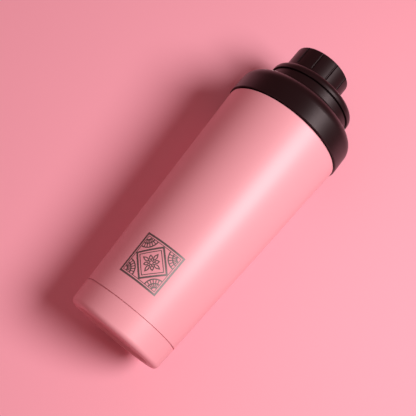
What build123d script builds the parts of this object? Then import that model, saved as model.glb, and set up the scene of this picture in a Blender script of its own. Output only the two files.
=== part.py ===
"""Protein shaker bottle: double-wall steel body, screw-on lid and off-centre spout with a screw cap.

Millimetres. The bottle stands on its base at z = 0, its axis is +Z, and the spout is offset towards -X.
"""
from build123d import *
import math
import os

# ---- steel body ------------------------------------------------------------------------------------
base_radius = 36.4        # outer radius where the taper starts, above the base corner
base_corner = 3.5         # rounding of the base's outer corner
body_top_radius = 46.0    # outer radius where the taper ends
body_top_z = 185.0        # height of the body's shoulder
shoulder_round = 1.2
steel = 0.8               # thickness of every steel wall
seam_z = 18.0             # middle of the groove between base cup and outer wall
seam_width = 0.8
lap_gap = 0.1             # between the base cup and the wall that it is welded over
lap_end_z = 5.0           # lower end of the lapped wall, where the vacuum plate is welded
vacuum_gap = 2.6          # between outer wall and inner liner
floor_z = 9.4             # inside floor of the cup
floor_round = 6.0
foot_width = 7.4          # the foot ring's inner edge lies this far inside base_radius
foot_recess = 2.0         # height of the recess under the base

# ---- mouth and neck --------------------------------------------------------------------------------
shoulder_width = 6.4      # the neck stands in from the body by this
neck_height = 17.7        # from the body's shoulder to the top of the mouth's lip
neck_gap = 0.05           # between the neck's outer wall and the liner inside it
flare_drop = 2.0          # below the shoulder the liner leaves the neck
flare_length = 7.0        # and reaches its full radius over this height

# ---- vacuum closure --------------------------------------------------------------------------------
dimple_radius = 5.5
dimple_depth = 1.2
pump_hole_radius = 0.75
bead_radius = 2.6
bead_height = 1.3
getter_radius = 6.0
getter_height = 1.5
getter_x = 18.0

# ---- lid -------------------------------------------------------------------------------------------
skirt_gap = 0.6           # shadow gap between body shoulder and skirt
skirt_overhang = 1.0      # the skirt's lower edge stands out from the body
skirt_flare = 0.5         # and its upper end is narrower by this
skirt_edge_round = 0.4
lid_shoulder_round = 9.2
lid_wall = 2.0
collar_radius = 32.8
collar_height = 10.0      # above the ledge
collar_foot_round = 4.2
gasket_height = 2.0
seal_gap = 0.05           # between a gasket's faces and what it seals against
gasket_side_gap = 0.2
liner_wall = 1.5
liner_web = 1.2
liner_lift = 1.2          # lid liner starts this far above the skirt's lower edge
glue_gap = 0.1            # between glued or pressed lid mouldings
inner_corner_round = 2.0  # inside corner of the lid shell
plug_gap = 1.15           # between the mouth and the plug wall that enters it
plug_wall = 1.6
plug_depth = 4.5          # below the rim
clip_lip = 0.6            # inward lip that holds the strainer
clip_height = 0.8
strainer_height = 1.8
strainer_rim = 2.6
strainer_bar = 1.2
strainer_pitch = 5.2

# ---- top disc and spout ----------------------------------------------------------------------------
disc_overhang = 1.2       # the disc stands out from the collar
disc_height = 6.6
disc_round = 4.6
parting_gap = 0.4         # shadow line between collar and disc
disc_plate = 2.2
spigot_depth = 7.0
spigot_wall = 1.8
land_gap = 0.6            # from the collar's bore to the land that the disc rests on
land_width = 0.8
spout_x = -6.8            # the spout's axis is offset from the bottle's axis
spout_radius = 17.2
spout_wall = 2.2
spout_height = 16.6       # above the disc

# ---- cap -------------------------------------------------------------------------------------------
cap_bottom_gap = 0.4
cap_top_wall = 1.5
cap_wall = 2.1
cap_liner_wall = 1.6
cap_liner_web = 1.2
cap_liner_lift = 0.8      # the cap's liner starts this far above its lower edge
cap_edge_round = 1.2
cap_gasket_height = 1.2
groove_count = 11
groove_radius = 0.9
groove_foot = 5.6         # height of the plain band under the grooves

# ---- threads: two starts each, right hand ----------------------------------------------------------
thread_starts = 2
female_turns = 0.6
male_turns = 1.0
thread_play = 0.3         # between a crest and the wall opposite
thread_bite = 0.3         # how far a ridge is rooted in its wall
lid_lead = 8.0
lid_ridge_height = 1.4
lid_ridge_base = 0.9      # half the ridge's height along the axis, at the wall
lid_ridge_crest = 0.5
lid_thread_lift = 5.0     # the thread's lowest centre above the body's shoulder
cap_lead = 6.0
cap_ridge_height = 1.1
cap_ridge_base = 0.7
cap_ridge_crest = 0.4
cap_thread_lift = 3.8     # above the disc

# ---- whisk ball ------------------------------------------------------------------------------------
ball_radius = 24.0
wire_radius = 1.1
ball_clearance = 0.05
ball_ring_count = 7
wire_nest = 0.3           # each set of wires is pressed this far into the next at a crossing

# ---- sizes that follow from the above --------------------------------------------------------------
taper = (body_top_radius - base_radius) / (body_top_z - base_corner)
neck_radius = body_top_radius - shoulder_width
mouth_radius = neck_radius - steel - neck_gap - steel
rim_z = body_top_z + neck_height
lid_thread_z = body_top_z + lid_thread_lift
foot_inner_radius = base_radius - foot_width
skirt_z = body_top_z + skirt_gap
skirt_low_radius = body_top_radius + skirt_overhang
skirt_high_radius = skirt_low_radius - skirt_flare
gasket_z = rim_z + seal_gap
web_z = gasket_z + gasket_height + seal_gap
web_top_z = web_z + liner_web
ledge_z = web_top_z + lid_wall
collar_top_z = ledge_z + collar_height
lid_bore_radius = neck_radius + lid_ridge_height + thread_play
liner_outer_radius = lid_bore_radius + liner_wall
plug_radius = mouth_radius - plug_gap
disc_radius = collar_radius + disc_overhang
disc_z = collar_top_z + parting_gap
disc_top_z = disc_z + disc_height
disc_under_z = disc_top_z - disc_plate
spigot_radius = collar_radius - lid_wall - glue_gap
spout_bore_radius = spout_radius - spout_wall
spout_top_z = disc_top_z + spout_height
cap_thread_z = disc_top_z + cap_thread_lift
cap_bore_radius = spout_radius + cap_ridge_height + thread_play
cap_liner_radius = cap_bore_radius + cap_liner_wall
cap_inner_radius = cap_liner_radius + glue_gap
cap_radius = cap_inner_radius + cap_wall
cap_gasket_z = spout_top_z + seal_gap
cap_web_z = cap_gasket_z + cap_gasket_height + seal_gap
cap_inner_top_z = cap_web_z + cap_liner_web
cap_top_z = cap_inner_top_z + cap_top_wall
cap_bottom_z = disc_top_z + cap_bottom_gap
groove_end_z = cap_bottom_z + groove_foot


def body_radius(z):
    """Outer radius of the tapered body at height z."""
    return base_radius + taper * (z - base_corner)


def turned(*corners):
    """Solid of revolution about Z; each corner is (radius, height) or (radius, height, rounding)."""
    outline = make_face(Polyline(*[(c[0], c[1]) for c in corners], close=True))
    for corner in corners:
        if len(corner) == 3:
            vertex = outline.vertices().sort_by_distance((corner[0], corner[1], 0))[0]
            outline = fillet(vertex, corner[2])
    return revolve(Plane.XZ * outline, axis=Axis.Z)


def thread_ridges(wall_radius, crest_radius, base_half, crest_half, lead, turns, start_z, start_angle):
    """Helical ridges, one per start, rooted thread_bite deep in the wall at wall_radius."""
    outward = 1 if crest_radius > wall_radius else -1
    root = wall_radius - outward * thread_bite
    profile = make_face(Polyline(
        (root, -base_half), (crest_radius, -crest_half), (crest_radius, crest_half), (root, base_half),
        close=True))
    path = Helix(pitch=lead, height=lead * turns, radius=wall_radius)
    ridge = sweep(Plane.XZ * profile, path=path, is_frenet=True)
    step = 360 / thread_starts
    return [Pos(0, 0, start_z) * Rot(0, 0, start_angle + step * start) * ridge
            for start in range(thread_starts)]


# ---- body pieces -----------------------------------------------------------------------------------
def make_outer_wall():
    """Tapered outer wall with its threaded neck and the lap that the base cup is welded over."""
    wall_z = seam_z + seam_width / 2
    step_z = wall_z + steel
    lap = steel + lap_gap
    wall = turned(
        (body_radius(lap_end_z) - lap, lap_end_z),
        (body_radius(wall_z) - lap, wall_z),
        (body_radius(wall_z), wall_z),
        (body_radius(body_top_z), body_top_z, shoulder_round),
        (neck_radius, body_top_z, 0.5),
        (neck_radius, rim_z - steel),
        (neck_radius - steel, rim_z - steel),
        (neck_radius - steel, body_top_z - steel),
        (body_radius(body_top_z) - steel, body_top_z - steel, shoulder_round - steel),
        (body_radius(step_z + lap) - steel, step_z + lap),
        (body_radius(step_z) - lap - steel, step_z),
        (body_radius(lap_end_z) - lap - steel, lap_end_z))
    ridges = thread_ridges(neck_radius, neck_radius + lid_ridge_height, lid_ridge_base,
                           lid_ridge_crest, lid_lead, male_turns, lid_thread_z, 0)
    return wall + ridges


def make_base_cup():
    """Bottom cup with a foot ring and a recessed underside."""
    rim = seam_z - seam_width / 2
    slope = 1.5
    return turned(
        (0, foot_recess),
        (foot_inner_radius - slope, foot_recess, 1.0),
        (foot_inner_radius, 0, 0.8),
        (body_radius(0), 0, base_corner),
        (body_radius(rim), rim),
        (body_radius(rim) - steel, rim),
        (body_radius(steel) - steel, steel, base_corner - steel),
        (foot_inner_radius + 0.3, steel),
        (foot_inner_radius - slope + 0.3, foot_recess + steel),
        (0, foot_recess + steel))


def make_inner_liner():
    """Inner vessel; its rolled lip sits on the neck's end and carries it."""
    outer = mouth_radius + steel
    gap = steel + vacuum_gap
    under = floor_z - steel
    flare_top_z = body_top_z - flare_drop
    flare_end_z = flare_top_z - flare_length
    return turned(
        (0, under),
        (body_radius(under) - gap, under, floor_round + steel),
        (body_radius(flare_end_z) - gap, flare_end_z),
        (outer, flare_top_z),
        (outer, rim_z - steel),
        (neck_radius, rim_z - steel),
        (neck_radius, rim_z, 0.35),
        (mouth_radius, rim_z, 0.35),
        (mouth_radius, flare_top_z),
        (body_radius(flare_end_z) - gap - steel, flare_end_z),
        (body_radius(floor_z) - gap - steel, floor_z, floor_round),
        (0, floor_z))


def make_vacuum_plate():
    """Pressed plate welded to the lap's lower end; its dimple holds the pump-out hole."""
    rim = body_radius(lap_end_z) - steel - 2 * lap_gap
    under = lap_end_z - steel
    flat = dimple_radius - dimple_depth
    return turned(
        (pump_hole_radius, under - dimple_depth),
        (flat, under - dimple_depth),
        (dimple_radius, under),
        (rim, under),
        (rim, lap_end_z),
        (dimple_radius - 0.3, lap_end_z),
        (flat - 0.3, lap_end_z - dimple_depth),
        (pump_hole_radius, lap_end_z - dimple_depth))


def make_seal_bead():
    """Domed bead that covers the pump-out hole."""
    seat_z = lap_end_z - dimple_depth
    centre = (bead_height ** 2 - bead_radius ** 2) / (2 * bead_height)
    dome = Pos(0, 0, seat_z + centre) * Sphere(bead_height - centre)
    below = Pos(0, 0, seat_z) * Cylinder(2 * bead_radius, 4 * bead_radius + bead_height,
                                          align=(Align.CENTER, Align.CENTER, Align.MAX))
    return dome - below


def make_getter():
    """Tablet that keeps the vacuum, fixed on the vacuum plate."""
    tablet = Cylinder(getter_radius, getter_height, align=(Align.CENTER, Align.CENTER, Align.MIN))
    return Pos(getter_x, 0, lap_end_z) * chamfer(tablet.edges().group_by(Axis.Z)[-1], 0.3)


# ---- lid pieces ------------------------------------------------------------------------------------
def make_lid_shell():
    """Outer lid moulding: flared skirt, rounded shoulder, ledge and collar."""
    inner = liner_outer_radius + glue_gap
    return turned(
        (inner, skirt_z),
        (skirt_low_radius, skirt_z, skirt_edge_round),
        (skirt_high_radius, ledge_z, lid_shoulder_round),
        (collar_radius, ledge_z, collar_foot_round),
        (collar_radius, collar_top_z, 0.3),
        (collar_radius - lid_wall, collar_top_z),
        (collar_radius - lid_wall, web_top_z),
        (inner, web_top_z, inner_corner_round))


def make_lid_liner():
    """Inner lid moulding: threaded wall, web over the mouth, plug wall with the strainer's clip."""
    low_z = skirt_z + liner_lift
    plug_low_z = rim_z - plug_depth
    plug_inner = plug_radius - plug_wall
    ring = turned(
        (lid_bore_radius, low_z),
        (liner_outer_radius, low_z),
        (liner_outer_radius, web_top_z, inner_corner_round + 6 * glue_gap),
        (plug_inner, web_top_z),
        (plug_inner, plug_low_z + clip_height),
        (plug_inner - clip_lip, plug_low_z + clip_height),
        (plug_inner - clip_lip, plug_low_z),
        (plug_radius, plug_low_z, 0.6),
        (plug_radius, web_z),
        (lid_bore_radius, web_z))
    ridges = thread_ridges(lid_bore_radius, neck_radius + thread_play, lid_ridge_base,
                           lid_ridge_crest, lid_lead, female_turns, lid_thread_z, 90)
    return ring + ridges


def make_lid_gasket():
    """Flat silicone ring on the mouth's lip."""
    top_z = gasket_z + gasket_height
    return turned(
        (plug_radius + gasket_side_gap, gasket_z),
        (lid_bore_radius - gasket_side_gap, gasket_z, 0.4),
        (lid_bore_radius - gasket_side_gap, top_z, 0.4),
        (plug_radius + gasket_side_gap, top_z))


def make_strainer():
    """Mixing grid that rests on the plug's clip: a rim and crossed bars."""
    outer = plug_radius - plug_wall - glue_gap
    inner = outer - strainer_rim
    count = int(inner // strainer_pitch)
    grid = Sketch()
    for index in range(-count, count + 1):
        half_chord = math.sqrt(outer ** 2 - (index * strainer_pitch) ** 2) - strainer_rim / 2
        place = index * strainer_pitch
        grid += Pos(0, place) * Rectangle(2 * half_chord, strainer_bar)
        grid += Pos(place, 0) * Rectangle(strainer_bar, 2 * half_chord)
    grid += Circle(outer) - Circle(inner)
    seat_z = rim_z - plug_depth + clip_height
    return Pos(0, 0, seat_z) * extrude(grid, amount=strainer_height)


def make_lid_top():
    """Top disc that plugs into the collar, with the off-centre threaded spout."""
    inner = spigot_radius - spigot_wall
    land = spigot_radius + glue_gap + land_gap
    disc = turned(
        (0, disc_under_z),
        (inner, disc_under_z, 1.0),
        (inner, disc_z - spigot_depth),
        (spigot_radius, disc_z - spigot_depth, 0.5),
        (spigot_radius, collar_top_z),
        (land + land_width, collar_top_z),
        (land + land_width, disc_z),
        (disc_radius, disc_z, 0.5),
        (disc_radius, disc_top_z, disc_round),
        (0, disc_top_z))
    tube = turned(
        (spout_bore_radius, disc_under_z),
        (spout_radius, disc_under_z),
        (spout_radius, spout_top_z, 0.6),
        (spout_bore_radius, spout_top_z, 0.6))
    bore = Pos(0, 0, disc_under_z) * Cylinder(spout_bore_radius, 2 * disc_plate)
    ridges = thread_ridges(spout_radius, spout_radius + cap_ridge_height, cap_ridge_base,
                           cap_ridge_crest, cap_lead, male_turns, cap_thread_z, 0)
    to_spout = Pos(spout_x, 0, 0)
    plate = disc - to_spout * Pos(0, 0, disc_plate / 2) * bore
    return plate + to_spout * (tube + ridges)


# ---- cap pieces ------------------------------------------------------------------------------------
def make_cap_shell():
    """Grooved grip of the spout's cap."""
    shell = turned(
        (cap_inner_radius, cap_bottom_z),
        (cap_radius, cap_bottom_z, 0.5),
        (cap_radius, cap_top_z, cap_edge_round),
        (0, cap_top_z),
        (0, cap_inner_top_z),
        (cap_inner_radius, cap_inner_top_z))
    length = cap_top_z - groove_end_z
    groove = Pos(cap_radius, 0, groove_end_z + length) * Cylinder(groove_radius, 2 * length)
    groove += Pos(cap_radius, 0, groove_end_z) * Sphere(groove_radius)
    grooves = [Rot(0, 0, -90 + 360 / groove_count * index) * groove for index in range(groove_count)]
    return Pos(spout_x, 0, 0) * (shell - grooves)


def make_cap_liner():
    """Insert with the cap's thread, glued in the grip."""
    low_z = cap_bottom_z + cap_liner_lift
    cup = turned(
        (cap_bore_radius, low_z),
        (cap_liner_radius, low_z),
        (cap_liner_radius, cap_inner_top_z),
        (0, cap_inner_top_z),
        (0, cap_web_z),
        (cap_bore_radius, cap_web_z))
    ridges = thread_ridges(cap_bore_radius, spout_radius + thread_play, cap_ridge_base,
                           cap_ridge_crest, cap_lead, female_turns, cap_thread_z, 90)
    return Pos(spout_x, 0, 0) * (cup + ridges)


def make_cap_gasket():
    """Flat silicone ring on the spout's rim."""
    inner = spout_bore_radius - gasket_side_gap
    outer = spout_radius + gasket_side_gap
    top_z = cap_gasket_z + cap_gasket_height
    ring = turned((inner, cap_gasket_z), (outer, cap_gasket_z), (outer, top_z), (inner, top_z))
    return Pos(spout_x, 0, 0) * ring


# ---- loose piece -----------------------------------------------------------------------------------
def make_whisk_ball():
    """Wire ball: rings of latitude held by two great circles that cross at the poles."""
    outer_path = ball_radius - wire_radius
    middle_path = outer_path - wire_nest
    inner_path = middle_path - wire_nest
    ball = Rot(90, 0, 0) * Torus(outer_path, wire_radius)
    ball += Rot(90, 0, 90) * Torus(inner_path, wire_radius)
    for index in range(ball_ring_count):
        latitude = math.radians(180 * (index + 1) / (ball_ring_count + 1) - 90)
        ring = Torus(middle_path * math.cos(latitude), wire_radius)
        ball += Pos(0, 0, middle_path * math.sin(latitude)) * ring
    return Pos(0, 0, floor_z + ball_clearance + ball_radius) * ball


pieces = {
    "outer_wall": make_outer_wall,
    "base_cup": make_base_cup,
    "inner_liner": make_inner_liner,
    "vacuum_plate": make_vacuum_plate,
    "seal_bead": make_seal_bead,
    "getter": make_getter,
    "lid_shell": make_lid_shell,
    "lid_liner": make_lid_liner,
    "lid_gasket": make_lid_gasket,
    "strainer": make_strainer,
    "lid_top": make_lid_top,
    "cap_shell": make_cap_shell,
    "cap_liner": make_cap_liner,
    "cap_gasket": make_cap_gasket,
    "whisk_ball": make_whisk_ball,
}

os.makedirs("parts", exist_ok=True)
for name, make in pieces.items():
    export_step(make(), f"parts/{name}.step")
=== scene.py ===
"""Protein shaker bottle: finishes, ornament, stage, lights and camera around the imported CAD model.

Lengths are in metres. The bottle's axis is +Z and its base is at z = 0. The bottle is shown lying on
a table, so the table is a plane that touches its side, and the camera is rolled instead of the bottle.
"""
import math

import bmesh
import bpy
from mathutils import Matrix, Vector


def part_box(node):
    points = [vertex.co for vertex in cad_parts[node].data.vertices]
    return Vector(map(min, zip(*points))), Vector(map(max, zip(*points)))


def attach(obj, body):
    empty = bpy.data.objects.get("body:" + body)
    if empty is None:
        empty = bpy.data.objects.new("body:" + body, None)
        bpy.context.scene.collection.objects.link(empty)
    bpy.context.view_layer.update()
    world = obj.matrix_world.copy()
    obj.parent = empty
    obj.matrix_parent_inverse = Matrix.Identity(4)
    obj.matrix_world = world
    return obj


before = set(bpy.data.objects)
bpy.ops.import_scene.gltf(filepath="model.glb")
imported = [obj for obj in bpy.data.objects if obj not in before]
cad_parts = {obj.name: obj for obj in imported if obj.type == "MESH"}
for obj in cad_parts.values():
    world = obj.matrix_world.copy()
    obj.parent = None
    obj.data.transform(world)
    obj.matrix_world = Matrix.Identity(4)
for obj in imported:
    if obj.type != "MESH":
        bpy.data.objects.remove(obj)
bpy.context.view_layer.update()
MM = 0.001

# ---- the view --------------------------------------------------------------------------------------
CAMERA_AZIMUTH = 16.0       # degrees about the bottle from -Y towards +X
CAMERA_DISTANCE = 0.5611    # from the bottle's axis
CAMERA_HEIGHT = -0.0339     # below the base: the view is from the base's end
AIM_SIDE = -0.0058
AIM_HEIGHT = 0.1085
ROLL = 39.86                # degrees; turns the standing bottle's axis towards the upper right
FOCAL = 2.00553             # focal length over the frame's width
SENSOR = 36.0

# ---- the body and lid ------------------------------------------------------------------------------
lid_low, lid_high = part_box("lid_shell")
LID_RADIUS = lid_high.x
LID_EDGE_Z = lid_low.z
TOP_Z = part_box("cap_shell")[1].z
CORNER_Z = 3.5 * MM         # the body's taper starts here
BASE_RADIUS = 36.4 * MM
SHOULDER_Z = 185.0 * MM     # and ends here
SHOULDER_RADIUS = 46.0 * MM
COAT_EDGE_Z = SHOULDER_Z + 0.4 * MM     # the coat ends here, and the neck above it is bare

# ---- colours ---------------------------------------------------------------------------------------
PINK_LOW = (0.672, 0.285, 0.325)
PINK_HIGH = (0.71, 0.303, 0.343)
BLACK = (0.0064, 0.0024, 0.0029)
INNER_BLACK = (0.02, 0.02, 0.022)
STEEL = (0.62, 0.61, 0.60)
ETCHED_STEEL = (0.21, 0.19, 0.185)
GETTER = (0.33, 0.32, 0.31)
SILICONE_LOW = (0.42, 0.42, 0.41)
SILICONE_HIGH = (0.5, 0.5, 0.49)
TABLE = (0.755, 0.313, 0.38)
GROUND = (0.100, 0.089, 0.090)
SURROUNDINGS = (1.0, 0.36, 0.37)

# ---- the etched tile's drawing, in mm --------------------------------------------------------------
OUTER_BORDER = (0.6, 1.25)      # inset from the tile's side, and width of line
INNER_BORDER = (2.1, 0.45)
OUTER_LOZENGE = (0.7, 1.2)      # inset from the inner border, and width of line
INNER_LOZENGE = (3.2, 0.55)
FAN_RADII = (2.6, 5.2, 8.0)     # a fan of arcs and spokes stands in each corner
FAN_WIDTH = 0.8
SPOKES = 5
SPOKE_ANGLE = 15                # degrees from each spoke to the next
SPOKE_RADII = (2.6, 3.5, 4.4, 5.2, 6.2, 7.1, 8.0)
SPOKE_WIDTH = 0.6
PETALS = 8
PETAL_START = 1.9
PETAL_ENDS = (6.6, 5.0)         # long and short petals take turns
PETAL_BULGE = 0.95
PETAL_WIDTH = 0.7
EYE_RADIUS = 1.2
EYE_WIDTH = 0.6

TILE_Z = 48.0 * MM          # middle of the tile
TILE_SIDE = 30.6 * MM
INLAY_DEPTH = 0.20 * MM     # its lines start this deep in the wall
INLAY_LIFT = 0.03 * MM      # and end this far above the coat
LAYER = 0.004 * MM          # lines that cross stand this much apart

# ---- stage and lights ------------------------------------------------------------------------------
STAGE_SIDE = 6.0
TABLE_GAP = 0.3 * MM        # between the lid and the table
GROUND_GAP = 0.2 * MM       # between the base and the ground
GROUND_GLOW = 4.8
WORLD_STRENGTH = 0.30
LIGHTS = (
    # name, across the view, towards the camera, up, diameter, watts
    ("key", 0.51, 0.80, 0.19, 0.50, 12.0),
    ("fill", -0.8, 1.2, -0.2, 1.4, 1.6),
    ("back_fill", 0.0, -1.3, 0.95, 0.6, 15.0),
)


def direction(azimuth):
    """Horizontal unit vector from the axis towards a camera at that azimuth."""
    a = math.radians(azimuth)
    return Vector((math.sin(a), -math.cos(a), 0))


TO_CAMERA = direction(CAMERA_AZIMUTH)
ACROSS = Vector((-TO_CAMERA.y, TO_CAMERA.x, 0))     # to the right in the camera's view


def add_object(name, data):
    """Links a new object to the scene."""
    made = bpy.data.objects.new(name, data)
    bpy.context.scene.collection.objects.link(made)
    return made


# ---- materials -------------------------------------------------------------------------------------
class Nodes:
    """A material's node tree, with one short call for a node and its inputs."""

    def __init__(self, name):
        self.material = bpy.data.materials.new(name)
        self.material.use_nodes = True
        self.tree = self.material.node_tree
        self.shader = self.tree.nodes["Principled BSDF"]

    def add(self, kind, _settings=None, **inputs):
        """Adds a node; an input is a value or another node's output."""
        node = self.tree.nodes.new("ShaderNode" + kind)
        for key, value in (_settings or {}).items():
            setattr(node, key, value)
        for key, value in inputs.items():
            self.put(node.inputs[key.replace("_", " ")], value)
        return node

    def put(self, socket, value):
        if isinstance(value, bpy.types.NodeSocket):
            self.tree.links.new(value, socket)
        else:
            socket.default_value = value

    def set(self, **inputs):
        """Sets inputs of the surface shader."""
        for key, value in inputs.items():
            self.put(self.shader.inputs[key.replace("_", " ")], value)

    def place(self):
        return self.add("TexCoord").outputs["Object"]

    def noise(self, scale, detail=3.0, roughness=0.5):
        node = self.add("TexNoise", Vector=self.place(), Scale=scale, Detail=detail,
                        Roughness=roughness)
        return node.outputs["Fac"]

    def ramp(self, factor, low, high, low_at=0.3, high_at=0.7):
        """Fades from one colour to another."""
        node = self.add("ValToRGB", Fac=factor)
        first, last = node.color_ramp.elements
        first.position, first.color = low_at, (*low, 1)
        last.position, last.color = high_at, (*high, 1)
        return node.outputs["Color"]

    def range(self, factor, low, high):
        node = self.add("MapRange", Value=factor, To_Min=low, To_Max=high)
        return node.outputs["Result"]

    def mix(self, factor, first, second):
        """Mixes two colours."""
        node = self.add("Mix", {"data_type": "RGBA"})
        sockets = (node.inputs[0], node.inputs[6], node.inputs[7])
        for socket, value in zip(sockets, (factor, first, second)):
            self.put(socket, value)
        return node.outputs[2]

    def above(self, value, threshold):
        """1 where the value is above the threshold, and 0 elsewhere."""
        node = self.add("Math", {"operation": "GREATER_THAN"})
        self.put(node.inputs[0], value)
        self.put(node.inputs[1], threshold)
        return node.outputs["Value"]

    def bump(self, height, strength, distance):
        node = self.add("Bump", Height=height, Strength=strength, Distance=distance)
        return node.outputs["Normal"]


def powder_coat():
    """Pink powder coat with a fine grain and slight colour drift; the threaded neck is bare steel."""
    n = Nodes("powder_coat")
    pink = n.ramp(n.noise(9.0, detail=2.0), PINK_LOW, PINK_HIGH)
    bare = n.above(n.add("SeparateXYZ", Vector=n.place()).outputs["Z"], COAT_EDGE_Z)
    n.set(Base_Color=n.mix(bare, pink, (*STEEL, 1)), Metallic=bare)
    grain = n.noise(1500.0, detail=2.0, roughness=0.6)
    n.set(Roughness=n.range(grain, 0.48, 0.58), Normal=n.bump(grain, 0.16, 0.10 * MM))
    n.set(Specular_IOR_Level=0.42, IOR=1.5, Coat_Weight=0.36, Coat_Roughness=0.35)
    return n.material


def satin_plastic(name, colour, rough_low, rough_high):
    """Moulded plastic with a fine spark-eroded grain; its reflections carry a painted pink tint."""
    n = Nodes(name)
    cloud = n.noise(14.0)
    paler = tuple(1.25 * c for c in colour)
    n.set(Base_Color=n.ramp(cloud, colour, paler), Roughness=n.range(cloud, rough_low, rough_high))
    n.set(Normal=n.bump(n.noise(2600.0, detail=1.0), 0.16, 0.06 * MM))
    # The pink specular tint is a painted pink reflection of the pink table and room; the plastic
    # itself reflects neutrally.
    n.set(IOR=1.5, Specular_IOR_Level=0.32, Specular_Tint=(1.0, 0.80, 0.82, 1))
    return n.material


def brushed_steel(name, colour, rough_low, rough_high):
    """Bare steel, brushed round the axis."""
    n = Nodes(name)
    stretch = n.add("Mapping", Vector=n.place(), Scale=(40, 40, 2600))
    brushed = n.add("TexNoise", Vector=stretch.outputs["Vector"], Scale=1.0, Detail=2.0)
    lines = brushed.outputs["Fac"]
    darker = tuple(0.85 * c for c in colour)
    n.set(Base_Color=n.ramp(lines, darker, colour), Metallic=1.0)
    n.set(Roughness=n.range(lines, rough_low, rough_high), Normal=n.bump(lines, 0.15, 0.05 * MM))
    return n.material


def silicone():
    """Soft grey silicone."""
    n = Nodes("silicone")
    cloud = n.noise(120.0)
    n.set(Base_Color=n.ramp(cloud, SILICONE_LOW, SILICONE_HIGH), Roughness=0.5, IOR=1.41)
    n.set(Normal=n.bump(cloud, 0.1, 0.1 * MM), Subsurface_Weight=0.1)
    return n.material


def finish_nodes():
    """Gives every CAD node its finish."""
    black = satin_plastic("black_satin", BLACK, 0.29, 0.38)
    inner = satin_plastic("inner_plastic", INNER_BLACK, 0.42, 0.52)
    steel = brushed_steel("bare_steel", STEEL, 0.24, 0.38)
    tablet = brushed_steel("getter_metal", GETTER, 0.5, 0.6)
    finishes = {
        powder_coat(): ("outer_wall", "base_cup"),
        black: ("lid_shell", "lid_top", "cap_shell"),
        inner: ("lid_liner", "strainer", "cap_liner"),
        steel: ("inner_liner", "vacuum_plate", "seal_bead", "whisk_ball"),
        tablet: ("getter",),
        silicone(): ("lid_gasket", "cap_gasket"),
    }
    for material, names in finishes.items():
        for name in names:
            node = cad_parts[name]
            node.data.materials.clear()
            node.data.materials.append(material)


# ---- ornament --------------------------------------------------------------------------------------
def wall_radius(z):
    """Outer radius of the tapered wall at height z."""
    share = (z - CORNER_Z) / (SHOULDER_Z - CORNER_Z)
    return BASE_RADIUS + (SHOULDER_RADIUS - BASE_RADIUS) * share


def on_wall(point, lift):
    """Wraps a point (across, along) of the flat tile round the wall's front."""
    z = TILE_Z + point.y
    radius = wall_radius(z) + lift
    angle = point.x / wall_radius(TILE_Z)
    return Vector((radius * math.sin(angle), -radius * math.cos(angle), z))


def strip(mesh, path, width, layer, closed=True):
    """Adds a line of bare metal, width in mm, with mitred corners along a path on the tile."""
    lift = INLAY_LIFT + layer * LAYER
    count = len(path)
    rows = []
    for i, here in enumerate(path):
        before = path[i - 1] if closed or i else here
        after = path[(i + 1) % count] if closed or i < count - 1 else here
        arrive, leave = (here - before).normalized(), (after - here).normalized()
        along = (arrive + leave).normalized()
        normal = Vector((-along.y, along.x))
        step = leave if leave.length else arrive
        side = normal * width * MM / 2 / max(0.3, along.dot(step))
        corners = [(here - side, -INLAY_DEPTH), (here + side, -INLAY_DEPTH), (here + side, lift),
                   (here - side, lift)]
        rows.append([mesh.verts.new(on_wall(point, height)) for point, height in corners])
    pairs = list(zip(rows, rows[1:])) + ([(rows[-1], rows[0])] if closed else [])
    for first, second in pairs:
        for k in range(4):
            m = (k + 1) % 4
            mesh.faces.new((first[k], first[m], second[m], second[k]))
    if not closed:
        mesh.faces.new(rows[0][::-1])
        mesh.faces.new(rows[-1])


def ray(degrees):
    """Unit vector on the tile."""
    a = math.radians(degrees)
    return Vector((math.cos(a), math.sin(a)))


def polygon(corners, step=0.8 * MM):
    """Closed path through the corners, in short steps so that it follows the wall."""
    path = []
    for first, second in zip(corners, corners[1:] + corners[:1]):
        count = max(1, round((second - first).length / step))
        path += [first.lerp(second, k / count) for k in range(count)]
    return path


def arc(centre, radius, start, end, count=12):
    """Open path along a circle, radius in mm and angles in degrees."""
    return [centre + radius * MM * ray(start + (end - start) * k / count) for k in range(count + 1)]


def petal(start, end, bulge, degrees, count=9):
    """Closed pointed leaf from one radius to another, in mm."""
    axis = ray(degrees)
    side = Vector((-axis.y, axis.x))
    path = []
    for sign in (1, -1):
        for k in range(count):
            t = k / count if sign > 0 else 1 - k / count
            out = start + (end - start) * t
            path.append((axis * out + side * sign * bulge * math.sin(math.pi * t)) * MM)
    return path


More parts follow.
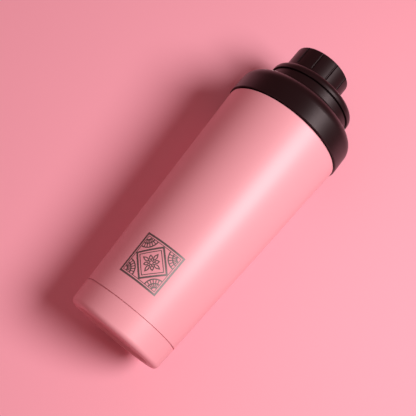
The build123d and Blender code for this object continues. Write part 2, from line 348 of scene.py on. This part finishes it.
def make_ornament(material):
    """Geometric tile etched through the coat: square, lozenge, corner fans and a rosette."""
    mesh = bmesh.new()
    quarters = [ray(90 * k) for k in range(4)]
    diagonals = [Vector(signs) for signs in ((1, 1), (-1, 1), (-1, -1), (1, -1))]
    reach = TILE_SIDE / 2 - INNER_BORDER[0] * MM
    for inset, width in (OUTER_BORDER, INNER_BORDER):
        strip(mesh, polygon([d * (TILE_SIDE / 2 - inset * MM) for d in diagonals]), width, 0)
    for inset, width in (OUTER_LOZENGE, INNER_LOZENGE):
        strip(mesh, polygon([q * (reach - inset * MM) for q in quarters]), width, 1)
    for index, d in enumerate(diagonals):
        corner = d * reach
        start = 180 + 90 * index
        for radius in FAN_RADII:
            strip(mesh, arc(corner, radius, start, start + 90), FAN_WIDTH, 2, closed=False)
        for spoke in range(1, SPOKES + 1):
            outwards = ray(start + SPOKE_ANGLE * spoke)
            path = [corner + outwards * radius * MM for radius in SPOKE_RADII]
            strip(mesh, path, SPOKE_WIDTH, 3, closed=False)
    for index in range(PETALS):
        end = PETAL_ENDS[index % 2]
        leaf = petal(PETAL_START, end, PETAL_BULGE, 360 / PETALS * index)
        strip(mesh, leaf, PETAL_WIDTH, 2)
    strip(mesh, arc(Vector((0, 0)), EYE_RADIUS, 0, 345, 23), EYE_WIDTH, 2)
    bmesh.ops.recalc_face_normals(mesh, faces=mesh.faces)
    data = bpy.data.meshes.new("etched_tile")
    mesh.to_mesh(data)
    mesh.free()
    data.materials.append(material)
    made = add_object("etched_tile", data)
    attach(made, "root")


# ---- stage -----------------------------------------------------------------------------------------
def one_sided(name, colour, roughness, glow=0.0):
    """Plain stage surface that is seen only from its front; a glow keeps it even under the lights."""
    n = Nodes(name)
    n.set(Base_Color=(*colour, 1), Roughness=roughness, Specular_IOR_Level=0.2)
    n.set(Emission_Color=(*colour, 1), Emission_Strength=glow)
    back = n.add("NewGeometry").outputs["Backfacing"]
    clear = n.add("BsdfTransparent").outputs["BSDF"]
    mix = n.add("MixShader", Fac=back)
    n.put(mix.inputs[1], n.shader.outputs["BSDF"])
    n.put(mix.inputs[2], clear)
    n.put(n.tree.nodes["Material Output"].inputs["Surface"], mix.outputs["Shader"])
    return n.material


def plane(name, centre, side, up, material):
    """Square stage plane facing side x up. It casts no shadow, so it keeps no light off the bottle."""
    half = STAGE_SIDE / 2
    mesh = bpy.data.meshes.new(name)
    signs = ((-1, -1), (1, -1), (1, 1), (-1, 1))
    mesh.from_pydata([centre + side * i * half + up * j * half for i, j in signs], [], [(0, 1, 2, 3)])
    mesh.materials.append(material)
    made = add_object(name, mesh)
    made.visible_shadow = False
    return made


def make_stage():
    """The table under the lying bottle touches the foot's corner and the lid's lower edge."""
    lean = math.atan2(LID_RADIUS - BASE_RADIUS, LID_EDGE_Z - CORNER_Z)
    up = (Vector((0, 0, 1)) - TO_CAMERA * math.tan(lean)).normalized()
    touch = -TO_CAMERA * (LID_RADIUS + TABLE_GAP) + Vector((0, 0, LID_EDGE_Z))
    plane("table", touch, ACROSS, up, one_sided("table_paper", TABLE, 0.75))
    ground = plane("ground", Vector((0, 0, -GROUND_GAP)), Vector((1, 0, 0)), Vector((0, 1, 0)),
                   one_sided("ground_paper", GROUND, 0.8, GROUND_GLOW))
    ground.visible_diffuse = False
    ground.visible_glossy = False


# ---- lights ----------------------------------------------------------------------------------------
def make_lights():
    """Round soft lights aimed at the bottle's middle, in a pink room."""
    middle = Vector((0, 0, TOP_Z / 2))
    for name, across, towards, rise, size, power in LIGHTS:
        data = bpy.data.lights.new(name, "AREA")
        data.shape = "DISK"
        data.size = size
        data.energy = power
        light = add_object(name, data)
        offset = ACROSS * across + TO_CAMERA * towards + Vector((0, 0, rise))
        light.location = middle + offset
        light.rotation_mode = "QUATERNION"
        light.rotation_quaternion = (-offset).to_track_quat("-Z", "Y")
    world = bpy.data.worlds.new("studio")
    world.use_nodes = True
    background = world.node_tree.nodes["Background"]
    background.inputs["Color"].default_value = (*SURROUNDINGS, 1)
    background.inputs["Strength"].default_value = WORLD_STRENGTH
    bpy.context.scene.world = world


# ---- camera ----------------------------------------------------------------------------------------
def make_camera():
    """Camera in front of the lying bottle, rolled about its own axis."""
    data = bpy.data.cameras.new("camera")
    data.sensor_width = SENSOR
    data.lens = FOCAL * SENSOR
    data.clip_start = 0.01
    camera = add_object("camera", data)
    place = TO_CAMERA * CAMERA_DISTANCE + Vector((0, 0, CAMERA_HEIGHT))
    aim = ACROSS * AIM_SIDE + Vector((0, 0, AIM_HEIGHT))
    forward = (aim - place).normalized()
    right = forward.cross(Vector((0, 0, 1))).normalized()
    up = right.cross(forward)
    roll = math.radians(ROLL)
    image_right = right * math.cos(roll) + up * math.sin(roll)
    image_up = up * math.cos(roll) - right * math.sin(roll)
    turn = Matrix((image_right, image_up, -forward)).transposed()
    camera.matrix_world = Matrix.Translation(place) @ turn.to_4x4()
    bpy.context.scene.camera = camera


finish_nodes()
make_ornament(brushed_steel("etched_steel", ETCHED_STEEL, 0.46, 0.58))
make_stage()
make_lights()
make_camera()
bpy.context.scene.view_settings.view_transform = "Standard"
